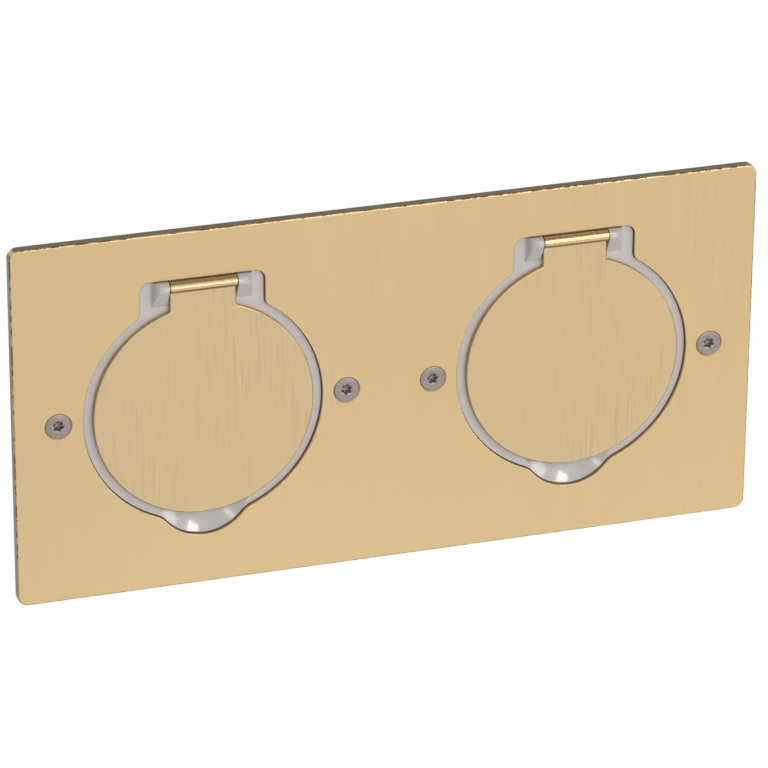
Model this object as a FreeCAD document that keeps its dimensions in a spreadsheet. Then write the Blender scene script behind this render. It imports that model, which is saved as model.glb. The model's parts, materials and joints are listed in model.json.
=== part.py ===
import FreeCAD, Part
import math
import os

import Sketcher

# Floor socket box for two 45 mm outlets, each under a round hinged brass lid.
#
# +Z points up out of the floor and z = 0 is the finished floor: the underside of the gasket on
# which the faceplate lies. X runs along the faceplate and +Y towards the hinges. The origin is the
# middle of the faceplate. Lengths are in millimetres.

DIMENSIONS = (
    # The round lid and its hinge
    ("lid_radius", 32.45),
    ("lid_thick", 1.5),
    ("lid_rise", 0.3),          # how far the closed lid stands above the faceplate
    ("lid_edge", 0.4),          # rounding of the lid's upper edge
    ("tongue_width", 19.4),     # the lid's tongue and the rolled barrel that ends it
    ("tongue_fillet", 0.6),
    ("hinge_reach", 6.15),      # from the lid's rim to the hinge axis
    ("barrel_radius", 1.75),
    ("barrel_gap", 0.3),
    ("tongue_gap", 0.35),       # between the tongue and the knuckle beside it
    ("pin_radius", 1.0),
    ("pin_play", 0.05),
    ("pin_fit", 0.05),
    ("pin_seat", 2.1),          # how deep the pin's hole is in each knuckle
    ("pin_end_gap", 0.1),
    ("knuckle_length", 4.5),
    ("knuckle_flat", 0.9),      # the level part of a knuckle's crown, beside the barrel
    ("knuckle_foot", 0.7),
    # The moulded liner and the seal under the lid
    ("liner_web", 1.6),
    ("liner_depth", 3.2),
    ("liner_wall", 1.8),
    ("liner_gap", 0.5),
    ("liner_rib", 1.2),
    ("seal_width", 1.4),
    # The brass faceplate and the gasket it lies on
    ("gang_pitch", 111.0),
    ("plate_thick", 3.0),
    ("plate_corner", 3.0),
    ("plate_edge", 0.5),
    ("plate_overhang", 2.5),
    ("opening_edge", 0.25),
    ("gasket_thick", 1.0),
    ("gasket_width", 3.0),
    ("gasket_gap", 1.5),        # between the gasket and the box's rim inside it
    ("ring_width", 2.85),       # the ring of lid frame that shows around the lid
    ("window_side", 8.65),      # the lid frame that shows beside the tongue
    ("window_corner", 3.0),
    ("window_blend", 2.5),      # where the window's sides meet the round opening
    ("scoop_radius", 14.6),
    ("scoop_reach", 7.35),      # from the lid's rim to the far end of the finger scoop
    ("scoop_blend", 7.0),
    # The faceplate screws, M4 countersunk, and their inserts
    ("screw_margin", 7.2),      # from the round opening to the screw's axis
    ("screw_radius", 2.0),
    ("screw_play", 0.25),
    ("screw_length", 14.0),
    ("head_radius", 3.75),
    ("head_gap", 0.3),
    ("head_sink", 0.15),
    ("socket_drive", 1.4),      # half the width of the drive recess, corner to corner
    ("drive_depth", 1.5),
    ("insert_wall", 0.95),
    ("insert_play", 0.05),
    ("insert_fit", 0.02),
    ("insert_length", 8.0),
    # The moulded lid frame
    ("frame_fit", 0.2),
    ("flange_thick", 2.2),
    ("frame_seal_thick", 0.8),
    ("frame_seal_side", 10.0),
    ("frame_seal_end", 3.5),
    ("frame_lug", 5.5),         # from a screw's axis to the frame's end
    ("frame_border", 5.35),
    ("frame_corner", 8.0),
    ("nail_lip", 1.15),         # how far the lid's rim stands out over the scoop
    ("seat_wall", 1.3),
    ("seat_ledge", 1.5),
    ("seat_depth", 1.8),
    ("seat_gap", 0.3),
    ("dish_lip", 0.3),
    ("dish_depth", 4.5),
    # The socket outlet, 45 mm module
    ("module_side", 45.0),
    ("module_play", 0.15),
    ("module_corner", 1.0),
    ("front_gap", 1.0),         # between the lid frame and the outlet's face
    ("front_thick", 2.0),
    ("front_edge", 0.4),
    ("well_radius", 19.75),
    ("well_depth", 15.0),
    ("well_edge", 0.7),
    ("cup_wall", 1.2),
    ("cup_floor", 1.8),
    ("plug_spacing", 19.0),     # between the plug's two pins
    ("plug_pin_radius", 2.4),
    ("plug_pin_length", 19.0),
    ("plug_pin_play", 0.3),
    ("earth_offset", 10.0),
    ("earth_length", 14.0),     # how far the earth pin stands in the well
    ("earth_play", 0.2),
    ("case_wall", 1.5),
    ("case_corner", 1.5),
    ("case_room", 0.5),         # below the plug's pins
    ("shutter_gap", 0.2),
    ("shutter_side_gap", 0.3),
    ("shutter_thick", 2.8),
    ("shutter_cover", 0.7),     # how far the shutter reaches past each hole
    ("shutter_step", 0.6),
    ("rail_gap", 0.1),
    ("rail_thick", 1.5),
    ("rail_margin", 2.0),
    ("spring_thick", 0.3),
    ("spring_swing", 4.0),
    ("spring_height", 2.0),
    ("spring_seat", 0.1),
    ("strip_thick", 0.7),
    ("clip_gap", 0.3),          # how much narrower a contact is than a plug's pin, each side
    ("clip_width", 7.0),
    ("clip_clear", 1.6),        # between a contact and the shutter
    ("terminal_width", 7.0),
    ("terminal_depth", 5.4),
    ("terminal_height", 7.0),
    ("terminal_shift", 2.5),
    ("terminal_gap", 0.5),
    ("wire_radius", 1.4),
    ("clamp_radius", 1.5),
    ("clamp_play", 0.05),
    ("clamp_over", 0.75),       # how far a clamp's thread runs past the middle of the wire
    ("clamp_head", 2.4),
    ("clamp_head_thick", 1.2),
    ("window_play", 0.5),
    # The support that carries an outlet, and its screws
    ("support_offset", 30.0),
    ("support_lug", 5.0),
    ("support_border", 5.0),
    ("support_drop", 0.5),
    ("support_ledge", 1.5),
    ("support_corner", 4.0),
    ("aperture_play", 0.25),
    ("fixing_radius", 1.5),
    ("fixing_play", 0.2),
    ("fixing_grip", 0.05),
    ("fixing_head", 2.9),
    ("fixing_length", 12.0),
    # The flush box
    ("box_wall", 2.0),
    ("box_corner", 10.0),
    ("box_base_edge", 4.0),
    ("rim_thick", 2.0),
    ("rim_margin_end", 0.5),    # from the lid frame to the edge of the rim
    ("rim_margin_side", 2.0),
    ("rim_corner", 6.0),
    ("side_room", 9.5),
    ("end_room", 5.4),
    ("wiring_room", 5.0),
    ("tower_wall", 1.75),
    ("tower_foot", 1.5),
    ("post_wall", 2.45),
    ("knockout_radius", 10.0),
    ("knockout_depth", 0.8),
    ("knockout_pitch", 44.0),
    ("knockout_rise", 17.0),    # from the box's floor to a knock-out's middle
    ("boss_radius", 13.5),      # the flat seat around an opened knock-out
    ("boss_thick", 0.5),
    # The snap-in adaptors that take 20 mm conduit
    ("conduit_radius", 10.1),
    ("conduit_grip", 9.0),      # how far a conduit pushes in
    ("adaptor_wall", 1.9),
    ("adaptor_flange", 1.5),
    ("adaptor_flange_radius", 13.0),
    ("throat_radius", 8.4),     # the narrower way into the box, which stops the conduit
    ("collar_play", 0.1),
    ("snap_catch", 0.45),
    ("snap_gap", 0.4),
    ("snap_length", 0.8),
    ("snap_slot", 2.0),
    ("gusset_gap", 0.35),       # between a gusset and the box's wall
    ("gusset_thick", 1.8),
    ("gusset_pitch", 36.0),
    ("gusset_height", 11.0),
    ("gusset_margin", 2.0),
    ("base_hole_radius", 2.25),
    ("base_hole_offset", 22.0),
)

BOX_DRAFT = 1.2                 # degrees, on the box's walls
KNUCKLE_RAMP = math.radians(30.0)
CUT_MARGIN = 1.0                # how far a cutting sketch starts outside the solid
GUSSETS_A_SIDE = 6
SPRING_FOLDS = 6

GANGS = {"left": -1, "right": 1}


class Size:
    """A length that knows its value and its formula in the sheet."""

    def __init__(self, value, formula):
        self.value = float(value)
        self.formula = formula

    def __add__(self, other):
        return join(self, "+", other)

    def __radd__(self, other):
        return join(other, "+", self)

    def __sub__(self, other):
        return join(self, "-", other)

    def __rsub__(self, other):
        return join(other, "-", self)

    def __mul__(self, other):
        return join(self, "*", other)

    def __rmul__(self, other):
        return join(other, "*", self)

    def __truediv__(self, other):
        return join(self, "/", other)

    def __neg__(self):
        return join(0, "-", self)


def as_size(number):
    if isinstance(number, Size):
        return number
    return Size(number, "({:.12g})".format(number))


def join(first, sign, second):
    """Work out a sum, difference, product or quotient as a value and as a formula."""
    first = as_size(first)
    second = as_size(second)
    values = {
        "+": first.value + second.value,
        "-": first.value - second.value,
        "*": first.value * second.value,
    }
    if sign == "/":
        values["/"] = first.value / second.value
    return Size(values[sign], "({} {} {})".format(first.formula, sign, second.formula))


def make_sheet(doc):
    """Put the driving dimensions in a spreadsheet and return them by name."""
    sheet = doc.addObject("Spreadsheet::Sheet", "Sizes")
    sizes = {}
    for row, (alias, value) in enumerate(DIMENSIONS, start=1):
        sheet.set("A{}".format(row), alias)
        sheet.set("B{}".format(row), str(value))
        sheet.setAlias("B{}".format(row), alias)
    doc.recompute()
    for alias, _ in DIMENSIONS:
        sizes[alias] = Size(getattr(sheet, alias), "Sizes." + alias)
    return sizes


doc = FreeCAD.newDocument("floor_socket_box")
S = make_sheet(doc)

# Heights, from the floor up and then down through the box
PLATE_BOTTOM = S["gasket_thick"]
PLATE_TOP = PLATE_BOTTOM + S["plate_thick"]
HINGE_Z = PLATE_TOP + S["lid_rise"]
RING_TOP = HINGE_Z - S["lid_thick"]
SEAT_Z = RING_TOP - S["seat_depth"]
FLANGE_TOP = PLATE_BOTTOM - S["frame_seal_thick"]
RIM_TOP = FLANGE_TOP - S["flange_thick"]
RIM_BOTTOM = RIM_TOP - S["rim_thick"]
FRONT_TOP = RIM_TOP - S["front_gap"]
FRONT_BOTTOM = FRONT_TOP - S["front_thick"]
SUPPORT_TOP = FRONT_TOP - S["support_drop"]
SUPPORT_BOTTOM = FRONT_BOTTOM - S["support_ledge"]
WELL_FLOOR = FRONT_TOP - S["well_depth"]
CASE_TOP = WELL_FLOOR - S["cup_floor"]
CHAMBER_FLOOR = WELL_FLOOR - S["plug_pin_length"] - S["case_room"]
CASE_BOTTOM = CHAMBER_FLOOR - S["case_wall"]
BOX_FLOOR = CASE_BOTTOM - S["wiring_room"]
BOX_BOTTOM = BOX_FLOOR - S["box_wall"]
SHUTTER_TOP = CASE_TOP - S["shutter_gap"]
SHUTTER_BOTTOM = SHUTTER_TOP - S["shutter_thick"]

# Plan sizes of one gang, from its own middle
HINGE_Y = S["lid_radius"] + S["hinge_reach"]
TONGUE_HALF = S["tongue_width"] / 2
KNUCKLE_START = TONGUE_HALF + S["tongue_gap"]
OPENING_RADIUS = S["lid_radius"] + S["ring_width"]
WINDOW_HALF = TONGUE_HALF + S["window_side"]
WINDOW_TOP = HINGE_Y + S["barrel_radius"] + S["barrel_gap"]
SCOOP_Y = S["lid_radius"] + S["scoop_reach"] - S["scoop_radius"]
SEAT_OUTER = S["lid_radius"] - S["nail_lip"]
SEAT_RADIUS = SEAT_OUTER - S["seat_wall"]
BORE_RADIUS = SEAT_RADIUS - S["seat_ledge"]
LINER_RADIUS = BORE_RADIUS - S["liner_gap"]
SCREW_X = OPENING_RADIUS + S["screw_margin"]
SCREW_HOLE = S["screw_radius"] + S["screw_play"]
FRAME_HALF_X = SCREW_X + S["frame_lug"]
FRAME_HALF_Y = WINDOW_TOP + S["frame_border"]
CUP_RADIUS = S["well_radius"] + S["cup_wall"]
CHAMBER_HALF = CUP_RADIUS - S["case_wall"]
PLUG_HOLE = S["plug_pin_radius"] + S["plug_pin_play"]
SHUTTER_HALF = PLUG_HOLE + S["shutter_cover"]
SHUTTER_TRAVEL = SHUTTER_HALF + PLUG_HOLE

# Plan sizes of the whole box, from its middle
GANG_X = S["gang_pitch"] / 2
RIM_HALF_X = GANG_X + FRAME_HALF_X + S["rim_margin_end"]
RIM_HALF_Y = FRAME_HALF_Y + S["rim_margin_side"]
GASKET_INNER_X = RIM_HALF_X + S["gasket_gap"]
GASKET_INNER_Y = RIM_HALF_Y + S["gasket_gap"]
GASKET_OUTER_X = GASKET_INNER_X + S["gasket_width"]
GASKET_OUTER_Y = GASKET_INNER_Y + S["gasket_width"]
PLATE_HALF_X = GASKET_OUTER_X + S["plate_overhang"]
PLATE_HALF_Y = GASKET_OUTER_Y + S["plate_overhang"]
BOX_INNER_X = GANG_X + S["support_offset"] + S["end_room"]
BOX_INNER_Y = S["module_side"] / 2 + S["side_room"]
BOX_OUTER_X = BOX_INNER_X + S["box_wall"]
BOX_OUTER_Y = BOX_INNER_Y + S["box_wall"]
INSERT_BORE = S["screw_radius"] + S["insert_play"]
INSERT_RADIUS = INSERT_BORE + S["insert_wall"]
TOWER_RADIUS = INSERT_RADIUS + S["tower_wall"]
POST_RADIUS = S["fixing_radius"] + S["fixing_grip"] + S["post_wall"]
KNOCKOUT_Z = BOX_FLOOR + S["knockout_rise"]
BOSS_Y = BOX_OUTER_Y + S["boss_thick"]


class Drawing:
    """A sketch on one of its body's origin planes, with every point held by the sheet."""

    def __init__(self, body, name, plane="XY_Plane", lift=0, shift=0):
        self.sketch = body.newObject("Sketcher::SketchObject", name)
        planes = [item for item in body.Origin.OriginFeatures if item.Role == plane]
        self.sketch.AttachmentSupport = [(planes[0], "")]
        self.sketch.MapMode = "FlatFace"
        self.sketch.setExpression("AttachmentOffset.Base.x", as_size(shift).formula)
        self.sketch.setExpression("AttachmentOffset.Base.z", as_size(lift).formula)

    def bind(self, kind, places, size):
        size = as_size(size)
        index = self.sketch.addConstraint(Sketcher.Constraint(kind, *places, size.value))
        name = "{}_{}".format(kind.lower(), index)
        self.sketch.renameConstraint(index, name)
        self.sketch.setExpression("Constraints." + name, size.formula)

    def place(self, item, point, x, y):
        self.bind("DistanceX", (-1, 1, item, point), x)
        self.bind("DistanceY", (-1, 1, item, point), y)

    def circle(self, radius, x=0, y=0):
        centre = FreeCAD.Vector(as_size(x).value, as_size(y).value, 0)
        round_edge = Part.Circle(centre, FreeCAD.Vector(0, 0, 1), as_size(radius).value)
        item = self.sketch.addGeometry(round_edge)
        self.place(item, 3, x, y)
        self.bind("Radius", (item,), radius)

    def path(self, points):
        """Close a path of (x, y) corners. A third value makes the edge that follows an arc of
        that radius, which runs anticlockwise."""
        corners = [FreeCAD.Vector(as_size(p[0]).value, as_size(p[1]).value, 0) for p in points]
        items = []
        for start, point in enumerate(points):
            here = corners[start]
            there = corners[(start + 1) % len(points)]
            if len(point) == 2:
                items.append(self.sketch.addGeometry(Part.LineSegment(here, there)))
                continue
            radius = as_size(point[2]).value
            chord = there - here
            rise = math.sqrt(max(radius ** 2 - chord.Length ** 2 / 4, 0.0))
            across = FreeCAD.Vector(-chord.y, chord.x, 0).normalize()
            centre = here + chord / 2 + across * rise
            first_angle = math.atan2(here.y - centre.y, here.x - centre.x)
            last_angle = math.atan2(there.y - centre.y, there.x - centre.x)
            whole = Part.Circle(centre, FreeCAD.Vector(0, 0, 1), radius)
            items.append(self.sketch.addGeometry(Part.ArcOfCircle(whole, first_angle, last_angle)))
        for start, point in enumerate(points):
            item = items[start]
            following = items[(start + 1) % len(points)]
            self.sketch.addConstraint(Sketcher.Constraint("Coincident", item, 2, following, 1))
            self.place(item, 1, point[0], point[1])
            if len(point) == 3:
                self.bind("Radius", (item,), point[2])

    def rectangle(self, low_x, low_y, high_x, high_y):
        self.path([(low_x, low_y), (high_x, low_y), (high_x, high_y), (low_x, high_y)])

    def rounded_rectangle(self, half_x, half_y, radius):
        in_x = half_x - radius
        in_y = half_y - radius
        self.path([
            (-in_x, -half_y), (in_x, -half_y, radius),
            (half_x, -in_y), (half_x, in_y, radius),
            (in_x, half_y), (-in_x, half_y, radius),
            (-half_x, in_y), (-half_x, -in_y, radius),
        ])


def new_body(name, x=0):
    """A sub-part of its own, which stands in the gang at x."""
    body = doc.addObject("PartDesign::Body", name)
    body.Label = name
    body.setExpression("Placement.Base.x", as_size(x).formula)
    return body


def add_feature(body, kind, name, drawing, length, reverse=False, both_sides=False):
    feature = body.newObject("PartDesign::" + kind, name)
    feature.Profile = drawing.sketch
    feature.Reversed = reverse
    if both_sides:
        feature.SideType = "Symmetric"
    feature.setExpression("Length", as_size(length).formula)
    return feature


def pad(body, name, drawing, length, **ways):
    """Grow a solid from a sketch, along the sketch's normal."""
    return add_feature(body, "Pad", name, drawing, length, **ways)


def pocket(body, name, drawing, depth, **ways):
    """Cut a sketch into a solid, against the sketch's normal."""
    return add_feature(body, "Pocket", name, drawing, depth, **ways)


def turn(body, kind, name, drawing):
    """Turn a sketch once around its own vertical axis, as a Revolution or a Groove."""
    feature = body.newObject("PartDesign::" + kind, name)
    feature.Profile = drawing.sketch
    feature.ReferenceAxis = (drawing.sketch, ["V_Axis"])
    feature.Angle = 360.0
    return feature


def mirror(body, name, originals, plane="YZ_Plane"):
    planes = [item for item in body.Origin.OriginFeatures if item.Role == plane]
    feature = body.newObject("PartDesign::Mirrored", name)
    feature.Originals = originals
    feature.MirrorPlane = (planes[0], [""])
    body.Tip = feature
    return feature


def dress(body, kind, name, wanted, size):
    """Fillet or chamfer the edges of a body so far that wanted() picks."""
    doc.recompute()
    base = body.Tip
    edges = base.Shape.Edges
    names = ["Edge{}".format(i + 1) for i, edge in enumerate(edges) if wanted(edge)]
    if not names:
        raise RuntimeError("no edge for {} of {}".format(name, body.Label))
    feature = body.newObject("PartDesign::" + kind, name)
    feature.Base = (base, names)
    feature.setExpression("Radius" if kind == "Fillet" else "Size", as_size(size).formula)
    return feature


TOUCH = 1e-3


def is_upright(edge):
    box = edge.BoundBox
    return box.XLength < TOUCH and box.YLength < TOUCH


def is_level(edge, height):
    box = edge.BoundBox
    return box.ZLength < TOUCH and abs(box.ZMin - as_size(height).value) < TOUCH


def is_circle(edge, radius):
    return hasattr(edge.Curve, "Radius") and abs(edge.Curve.Radius - as_size(radius).value) < TOUCH


def reaches(edge, half_x, half_y):
    """Whether an edge touches the upright sides of a block of this half length and width."""
    box = edge.BoundBox
    far_x = max(abs(box.XMin), abs(box.XMax))
    far_y = max(abs(box.YMin), abs(box.YMax))
    return abs(far_x - half_x.value) < TOUCH or abs(far_y - half_y.value) < TOUCH


# ---------------------------------------------------------------- faceplate and gasket

def make_faceplate():
    body = new_body("faceplate")
    outline = Drawing(body, "plate_outline", lift=PLATE_BOTTOM)
    outline.rounded_rectangle(PLATE_HALF_X, PLATE_HALF_Y, S["plate_corner"])
    pad(body, "plate", outline, S["plate_thick"])

    rounds = Drawing(body, "lid_rounds", lift=PLATE_TOP)
    windows = Drawing(body, "hinge_windows", lift=PLATE_TOP)
    scoops = Drawing(body, "finger_scoops", lift=PLATE_TOP)
    holes = Drawing(body, "screw_holes", lift=PLATE_TOP)
    for side in GANGS.values():
        middle = GANG_X * side
        rounds.circle(OPENING_RADIUS, middle)
        windows.rectangle(middle - WINDOW_HALF, 0, middle + WINDOW_HALF, WINDOW_TOP)
        scoops.circle(S["scoop_radius"], middle, -SCOOP_Y)
        for end in (-1, 1):
            holes.circle(SCREW_HOLE, middle + SCREW_X * end)
    for name, drawing in (("round_cut", rounds), ("window_cut", windows),
                          ("scoop_cut", scoops), ("screw_cut", holes)):
        pocket(body, name, drawing, S["plate_thick"])

    countersink = S["head_radius"] + S["head_gap"]

    def is_window_corner(edge):
        return is_upright(edge) and abs(edge.BoundBox.YMax - WINDOW_TOP.value) < TOUCH

    def is_on_round(edge):
        box = edge.BoundBox
        reach = math.hypot(abs(box.XMin) - GANG_X.value, box.YMin)
        return is_upright(edge) and abs(reach - OPENING_RADIUS.value) < TOUCH

    def is_scoop_corner(edge):
        return is_on_round(edge) and edge.BoundBox.YMax < 0

    def is_window_joint(edge):
        return is_on_round(edge) and edge.BoundBox.YMin > 0

    def is_outer_edge(edge):
        return is_level(edge, PLATE_TOP) and reaches(edge, PLATE_HALF_X, PLATE_HALF_Y)

    def is_screw_edge(edge):
        return is_level(edge, PLATE_TOP) and is_circle(edge, SCREW_HOLE)

    def is_countersink(edge):
        return is_circle(edge, countersink)

    def is_opening_edge(edge):
        return is_level(edge, PLATE_TOP) and not (is_outer_edge(edge) or is_countersink(edge))

    dress(body, "Fillet", "window_corners", is_window_corner, S["window_corner"])
    dress(body, "Fillet", "scoop_corners", is_scoop_corner, S["scoop_blend"])
    dress(body, "Fillet", "window_joints", is_window_joint, S["window_blend"])
    dress(body, "Chamfer", "countersinks", is_screw_edge, countersink - SCREW_HOLE)
    dress(body, "Fillet", "opening_edges", is_opening_edge, S["opening_edge"])
    dress(body, "Fillet", "outer_edges", is_outer_edge, S["plate_edge"])


def make_floor_gasket():
    body = new_body("floor_gasket")
    ring = Drawing(body, "gasket_outline")
    ring.rounded_rectangle(GASKET_OUTER_X, GASKET_OUTER_Y, S["plate_corner"])
    ring.rounded_rectangle(GASKET_INNER_X, GASKET_INNER_Y, S["plate_corner"])
    pad(body, "gasket", ring, S["gasket_thick"])


# ---------------------------------------------------------------- fasteners

def make_cylinder(name, radius, height, x, y, z, across=""):
    """A Part cylinder that starts at x, y, z and runs up, or along +X or +Y."""
    item = doc.addObject("Part::Cylinder", name)
    turns = {
        "": FreeCAD.Rotation(),
        "x": FreeCAD.Rotation(FreeCAD.Vector(0, 1, 0), 90),
        "y": FreeCAD.Rotation(FreeCAD.Vector(1, 0, 0), -90),
    }
    item.Placement = FreeCAD.Placement(FreeCAD.Vector(), turns[across])
    item.setExpression("Radius", as_size(radius).formula)
    item.setExpression("Height", as_size(height).formula)
    for axis, place in zip("xyz", (x, y, z)):
        item.setExpression("Placement.Base." + axis, as_size(place).formula)
    return item


def make_countersunk_screw(name, shank, head, length, x, top):
    """A countersunk screw with a six-sided drive, its head's face at height top."""
    cone_height = head - shank
    stem = make_cylinder(name + "_stem", shank, length - cone_height, x, 0, top - length)
    cone = doc.addObject("Part::Cone", name + "_cone")
    cone.setExpression("Radius1", shank.formula)
    cone.setExpression("Radius2", head.formula)
    cone.setExpression("Height", cone_height.formula)
    cone.setExpression("Placement.Base.x", x.formula)
    cone.setExpression("Placement.Base.z", (top - cone_height).formula)
    whole = doc.addObject("Part::Fuse", name + "_blank")
    whole.Base = stem
    whole.Tool = cone
    recess = doc.addObject("Part::Prism", name + "_drive")
    recess.Polygon = 6
    recess.setExpression("Circumradius", S["socket_drive"].formula)
    recess.setExpression("Height", (S["drive_depth"] + CUT_MARGIN).formula)
    recess.setExpression("Placement.Base.x", x.formula)
    recess.setExpression("Placement.Base.z", (top - S["drive_depth"]).formula)
    screw = doc.addObject("Part::Cut", name)
    screw.Base = whole
    screw.Tool = recess
    return screw


def make_group(name, items):
    """One node that holds several separate solids."""
    group = doc.addObject("Part::Compound", name)
    group.Label = name
    group.Links = items
    return group


def screw_places():
    """The X of each faceplate screw, all on the line through the lids' middles."""
    return [GANG_X * side + SCREW_X * end for side in GANGS.values() for end in (-1, 1)]


def make_faceplate_screws():
    top = PLATE_TOP - S["head_sink"]
    screws = []
    for number, x in enumerate(screw_places(), start=1):
        name = "plate_screw_{}".format(number)
        screws.append(make_countersunk_screw(
            name, S["screw_radius"], S["head_radius"], S["screw_length"], x, top))
    make_group("faceplate_screws", screws)


def make_box_inserts():
    inserts = []
    for number, x in enumerate(screw_places(), start=1):
        name = "insert_{}".format(number)
        low = RIM_TOP - S["insert_length"]
        outside = make_cylinder(name + "_blank", INSERT_RADIUS, S["insert_length"], x, 0, low)
        inside = make_cylinder(name + "_bore", INSERT_BORE, S["insert_length"], x, 0, low)
        insert = doc.addObject("Part::Cut", name)
        insert.Base = outside
        insert.Tool = inside
        inserts.append(insert)
    make_group("box_inserts", inserts)


# ---------------------------------------------------------------- flush box

def cut_screw_seats(body, places):
    """Holes for the inserts, and below them for the screws' ends."""
    seats = Drawing(body, "insert_seats", lift=RIM_TOP)
    tails = Drawing(body, "screw_tails", lift=RIM_TOP)
    for x in places:
        seats.circle(INSERT_RADIUS + S["insert_fit"], x)
        tails.circle(SCREW_HOLE, x)
    pocket(body, "insert_holes", seats, S["insert_length"])
    pocket(body, "tail_holes", tails, S["screw_length"])


def make_box_rim():
    """The mounting rim on the box's edge, with towers for the two outer faceplate screws."""
    body = new_body("box_rim")
    rim = Drawing(body, "rim_outline", lift=RIM_BOTTOM)
    rim.rounded_rectangle(RIM_HALF_X, RIM_HALF_Y, S["rim_corner"])
    rim.rounded_rectangle(BOX_INNER_X, BOX_INNER_Y, S["box_corner"] - S["box_wall"])
    pad(body, "rim", rim, S["rim_thick"])
    towers = Drawing(body, "tower_outlines", lift=RIM_BOTTOM)
    outer = [(GANG_X + SCREW_X) * way for way in (-1, 1)]
    for x in outer:
        towers.circle(TOWER_RADIUS, x)
    pad(body, "towers", towers, S["screw_length"] + S["tower_foot"] - S["rim_thick"],
        reverse=True)

    # Gussets under the rim, beside both long walls of the box
    middle = (GUSSETS_A_SIDE - 1) / 2
    for number in range(GUSSETS_A_SIDE):
        place = S["gusset_pitch"] * (number - middle)
        web = Drawing(body, "gusset_{}_outline".format(number + 1), plane="YZ_Plane", lift=place)
        for way in (-1, 1):
            wall = (BOX_OUTER_Y + S["gusset_gap"]) * way
            edge = (RIM_HALF_Y - S["gusset_margin"]) * way
            corners = [(wall, RIM_BOTTOM - S["gusset_height"]), (edge, RIM_BOTTOM),
                       (wall, RIM_BOTTOM)]
            web.path(corners if way > 0 else corners[::-1])
        pad(body, "gusset_{}".format(number + 1), web, S["gusset_thick"], both_sides=True)
    cut_screw_seats(body, outer)


def make_flush_box():
    body = new_body("flush_box")
    outline = Drawing(body, "box_outline", lift=RIM_BOTTOM)
    outline.rounded_rectangle(BOX_OUTER_X, BOX_OUTER_Y, S["box_corner"])
    block = pad(body, "block", outline, RIM_BOTTOM - BOX_BOTTOM, reverse=True)
    block.TaperAngle = -BOX_DRAFT
    dress(body, "Fillet", "base_edge",
          lambda edge: is_level(edge, BOX_BOTTOM), S["box_base_edge"])

    # Flat seats for the conduit adaptors, on the front wall
    bosses = Drawing(body, "boss_outlines", plane="XZ_Plane", lift=BOSS_Y)
    for way in GANGS.values():
        bosses.circle(S["boss_radius"], S["knockout_pitch"] * way, KNOCKOUT_Z)
    pad(body, "bosses", bosses, S["boss_thick"] + S["box_wall"], reverse=True)

    # The inside, down to the floor
    inside = Drawing(body, "inside_outline", lift=RIM_BOTTOM)
    inside.rounded_rectangle(BOX_INNER_X, BOX_INNER_Y, S["box_corner"] - S["box_wall"])
    room = pocket(body, "inside", inside, RIM_BOTTOM - BOX_FLOOR)
    room.TaperAngle = -BOX_DRAFT
    dress(body, "Fillet", "floor_edge",
          lambda edge: is_level(edge, BOX_FLOOR), S["box_base_edge"] - S["box_wall"])

    # Posts for the two inner faceplate screws and for the outlet supports
    posts = Drawing(body, "post_outlines", lift=BOX_FLOOR)
    inner = [(GANG_X - SCREW_X) * way for way in (-1, 1)]
    for x in inner:
        posts.circle(TOWER_RADIUS, x)
    pad(body, "posts", posts, RIM_TOP - BOX_FLOOR)
    rests = Drawing(body, "rest_outlines", lift=BOX_FLOOR)
    for x in support_places():
        rests.circle(POST_RADIUS, x)
    pad(body, "rests", rests, SUPPORT_BOTTOM - BOX_FLOOR)

    cut_screw_seats(body, inner)
    pilots = Drawing(body, "pilot_outlines", lift=SUPPORT_BOTTOM)
    for x in support_places():
        pilots.circle(S["fixing_radius"] + S["fixing_grip"], x)
    pocket(body, "pilot_holes", pilots, S["fixing_length"])

    # Knock-outs in the long walls, two of them opened for the adaptors, and holes in the floor
    drop = (RIM_BOTTOM - KNOCKOUT_Z) * math.tan(math.radians(BOX_DRAFT))
    for way, label, numbers in ((-1, "rear", (-1, 0, 1)), (1, "front", (0,))):
        discs = Drawing(body, "knockouts_" + label, plane="XZ_Plane", lift=BOX_OUTER_Y * way)
        for number in numbers:
            discs.circle(S["knockout_radius"], S["knockout_pitch"] * number, KNOCKOUT_Z)
        pocket(body, "knockout_cut_" + label, discs, drop + S["knockout_depth"],
               reverse=way < 0)
    opened = Drawing(body, "opened_outlines", plane="XZ_Plane", lift=BOSS_Y)
    for way in GANGS.values():
        opened.circle(S["knockout_radius"], S["knockout_pitch"] * way, KNOCKOUT_Z)
    pocket(body, "opened_knockouts", opened, S["boss_thick"] + S["box_wall"] + CUT_MARGIN)
    fixings = Drawing(body, "base_holes", lift=BOX_FLOOR)
    for way in (-1, 1):
        for side in (-1, 1):
            fixings.circle(S["base_hole_radius"], (GANG_X + S["support_offset"]) * way,
                           S["base_hole_offset"] * side)
    pocket(body, "base_screw_holes", fixings, S["box_wall"])


def support_places():
    """The X of each screw that holds an outlet support."""
    offset = S["support_offset"]
    return [GANG_X * side + offset * end for side in GANGS.values() for end in (-1, 1)]


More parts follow.
